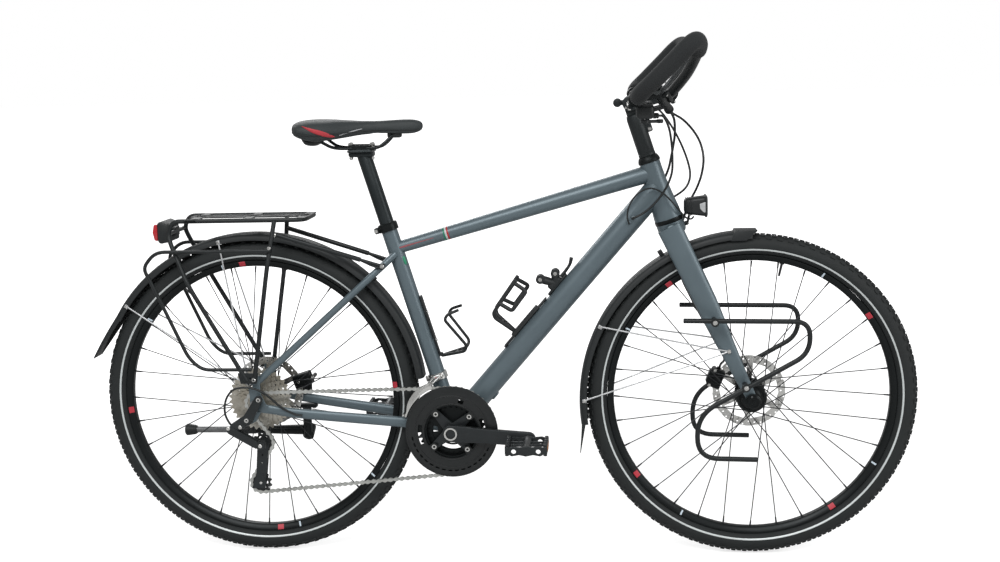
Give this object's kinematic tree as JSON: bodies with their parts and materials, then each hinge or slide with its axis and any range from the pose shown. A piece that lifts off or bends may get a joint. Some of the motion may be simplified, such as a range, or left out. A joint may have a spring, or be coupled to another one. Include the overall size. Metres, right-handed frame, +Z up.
{
  "type": "touring bicycle",
  "caption": "Touring bicycle with butterfly handlebar, disc brakes, chain drive, mudguards, racks, lights, bottle cages and folding kickstand.",
  "frame": {"origin": "on the ground below the middle of the bicycle's length, on its centre plane", "axes": "+X forward, +Y to the rider's left, +Z up"},
  "size_m": [1.8166, 0.6286, 1.1338],
  "materials": {
    "slate_paint": "matte slate grey paint",
    "black_metal": "black anodised",
    "black_plastic": "matt black",
    "black_foam": "dark foam",
    "saddle_cover": "padded black cover",
    "cable_rubber": "satin black",
    "tyre_rubber": "dull black",
    "silver_metal": "brushed",
    "chain_steel": "worn steel",
    "red_lens": "clear red",
    "clear_lens": "clear"
  },
  "bodies": {
    "frame": {"frame": "slate_paint", "seat_clamp": "black_metal", "rear_fender": "black_plastic", "rear_rack": "black_metal", "tail_light": "black_plastic", "tail_light_lens": "red_lens", "rear_caliper": "black_metal", "front_derailleur": "silver_metal", "rear_derailleur": "black_metal", "chain": "chain_steel", "seat_tube_bottle_cage": "black_plastic", "down_tube_bottle_cage": "black_plastic", "strap_holder": "black_plastic", "kickstand_bracket": "black_metal", "rear_axle": "silver_metal", "derailleur_cable": "cable_rubber", "rear_brake_hose": "cable_rubber", "rear_shift_cable": "cable_rubber", "front_shift_cable": "cable_rubber", "lamp_lead": "cable_rubber"},
    "guide_pulley": {"guide_pulley": "black_plastic"},
    "tension_pulley": {"tension_pulley": "black_plastic"},
    "cassette": {"cassette": "chain_steel"},
    "kickstand": {"kickstand_leg": "black_metal"},
    "seat": {"saddle": "saddle_cover", "saddle_rails": "black_metal", "seatpost": "black_metal"},
    "fork": {"fork": "slate_paint", "stem_base": "black_metal", "front_fender": "black_plastic", "headlight": "black_plastic", "headlight_lens": "clear_lens", "right_lowrider": "black_metal", "left_lowrider": "black_metal", "front_caliper": "black_metal", "front_axle": "silver_metal", "front_brake_hose": "cable_rubber"},
    "handlebar": {"stem_arm": "black_metal", "handlebar": "black_metal", "right_grip": "black_foam", "left_grip": "black_foam", "right_control": "black_metal", "left_control": "black_metal"},
    "right_brake_lever": {"right_brake_lever": "black_metal"},
    "left_brake_lever": {"left_brake_lever": "black_metal"},
    "right_shift_lever": {"right_shift_lever": "black_plastic"},
    "left_shift_lever": {"left_shift_lever": "black_plastic"},
    "front_wheel": {"front_tyre": "tyre_rubber", "front_rim": "black_metal", "front_hub": "black_metal", "front_brake_disc": "silver_metal"},
    "rear_wheel": {"rear_tyre": "tyre_rubber", "rear_rim": "black_metal", "rear_hub": "black_metal", "rear_brake_disc": "silver_metal"},
    "cranks": {"right_crank": "black_metal", "chain_guard": "black_plastic", "left_crank": "black_metal"},
    "right_pedal": {"right_pedal": "black_metal"},
    "left_pedal": {"left_pedal": "black_metal"}
  },
  "joints": [
    {"name": "steering", "type": "hinge", "parent": "frame", "child": "fork", "pos_m": [0.50763, 0, 0.34148], "axis": [-0.309, 0, 0.9511], "range_deg": [-60, 60], "deforming": ["rear_brake_hose", "rear_shift_cable", "front_shift_cable", "lamp_lead"]},
    {"name": "stem_angle", "type": "hinge", "parent": "fork", "child": "handlebar", "pos_m": [0.29617, 0, 0.99228], "axis": [0, -1, 0], "range_deg": [-20, 35], "deforming": ["front_brake_hose", "rear_brake_hose", "rear_shift_cable", "front_shift_cable"]},
    {"name": "front_wheel_spin", "type": "hinge", "parent": "fork", "child": "front_wheel", "pos_m": [0.55233, 0, 0.356], "axis": [0, 1, 0], "continuous": true},
    {"name": "rear_wheel_spin", "type": "hinge", "parent": "frame", "child": "rear_wheel", "pos_m": [-0.53067, 0, 0.356], "axis": [0, 1, 0], "continuous": true},
    {"name": "crank_spin", "type": "hinge", "parent": "frame", "child": "cranks", "pos_m": [-0.09883, 0, 0.289], "axis": [0, 1, 0], "continuous": true},
    {"name": "right_pedal_spin", "type": "hinge", "parent": "cranks", "child": "right_pedal", "pos_m": [0.07067, 0, 0.27596], "axis": [0, 1, 0], "continuous": true},
    {"name": "left_pedal_spin", "type": "hinge", "parent": "cranks", "child": "left_pedal", "pos_m": [-0.26833, 0, 0.30204], "axis": [0, 1, 0], "continuous": true},
    {"name": "cassette_spin", "type": "hinge", "parent": "frame", "child": "cassette", "pos_m": [-0.53067, 0, 0.356], "axis": [0, 1, 0], "continuous": true},
    {"name": "tension_pulley_spin", "type": "hinge", "parent": "frame", "child": "tension_pulley", "pos_m": [-0.52832, 0, 0.17434], "axis": [0, 1, 0], "continuous": true},
    {"name": "guide_pulley_spin", "type": "hinge", "parent": "frame", "child": "guide_pulley", "pos_m": [-0.51871, 0, 0.26584], "axis": [0, 1, 0], "continuous": true},
    {"name": "seat_height", "type": "slide", "parent": "frame", "child": "seat", "axis": [-0.2857, 0, 0.9583], "range_m": [-0.065, 0.09]},
    {"name": "kickstand_fold", "type": "hinge", "parent": "frame", "child": "kickstand", "pos_m": [-0.44862, 0.08709, 0.25457], "axis": [0, 0.866, 0.5], "range_deg": [-90, 0]},
    {"name": "right_brake_lever_pull", "type": "hinge", "parent": "handlebar", "child": "right_brake_lever", "pos_m": [0.3561, -0.23018, 1.02081], "axis": [0.769, 0, -0.6392], "range_deg": [0, 22], "stiffness_Nm_per_rad": 0.6},
    {"name": "left_brake_lever_pull", "type": "hinge", "parent": "handlebar", "child": "left_brake_lever", "pos_m": [0.3561, 0.23018, 1.02081], "axis": [-0.769, 0, 0.6392], "range_deg": [0, 22], "stiffness_Nm_per_rad": 0.6},
    {"name": "right_shift_lever_push", "type": "hinge", "parent": "handlebar", "child": "right_shift_lever", "pos_m": [0.3247, -0.1782, 0.96055], "axis": [0, 0, 1], "range_deg": [-18, 18], "stiffness_Nm_per_rad": 0.3, "deforming": ["rear_shift_cable"]},
    {"name": "left_shift_lever_push", "type": "hinge", "parent": "handlebar", "child": "left_shift_lever", "pos_m": [0.3247, 0.1782, 0.96055], "axis": [0, 0, 1], "range_deg": [-18, 18], "stiffness_Nm_per_rad": 0.3, "deforming": ["front_shift_cable"]}
  ],
  "couplings": [
    {"joint": "cassette_spin", "follows": "crank_spin", "ratio": 4.3636},
    {"joint": "tension_pulley_spin", "follows": "crank_spin", "ratio": 4.3636},
    {"joint": "guide_pulley_spin", "follows": "crank_spin", "ratio": -4.3636}
  ]
}
